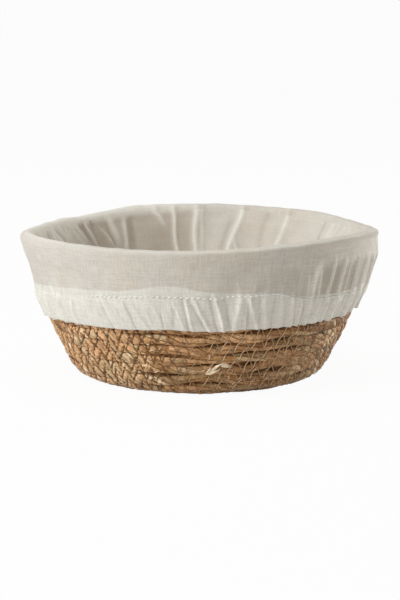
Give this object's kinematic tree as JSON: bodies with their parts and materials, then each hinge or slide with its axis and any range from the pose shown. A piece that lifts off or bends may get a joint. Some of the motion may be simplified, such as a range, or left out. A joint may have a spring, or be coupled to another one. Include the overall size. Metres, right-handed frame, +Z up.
{
  "type": "proofing basket",
  "caption": "Round bowl-shaped basket of coiled, sewn grass rope with a cloth liner that folds over the rim and grips it with a gathered elastic hem, for proofing bread dough.",
  "frame": {"origin": "middle of the base, on the table it stands on", "axes": "+Z up out of the bowl, -Y towards the viewer of the picture, +X to the viewer's right"},
  "size_m": [0.2502, 0.2502, 0.1057],
  "materials": {
    "seagrass": "matt dried grass",
    "sewing_thread": "matt thread",
    "linen": "matt plain weave",
    "elastic": "matt woven elastic",
    "white_thread": "matt thread"
  },
  "bodies": {
    "basket": {"seagrass_coil": "seagrass", "base_thread": "sewing_thread", "wall_thread": "sewing_thread"},
    "liner": {"liner_floor_panel": "linen", "liner_side_panel": "linen", "hem_elastic": "elastic", "hem_thread": "white_thread", "floor_seam_thread": "white_thread"}
  },
  "joints": [
    {"name": "liner_lift", "type": "slide", "parent": "basket", "child": "liner", "axis": [0, 0, 1], "range_m": [0, 0.115], "deforming": ["liner_side_panel", "hem_elastic", "hem_thread"]}
  ]
}
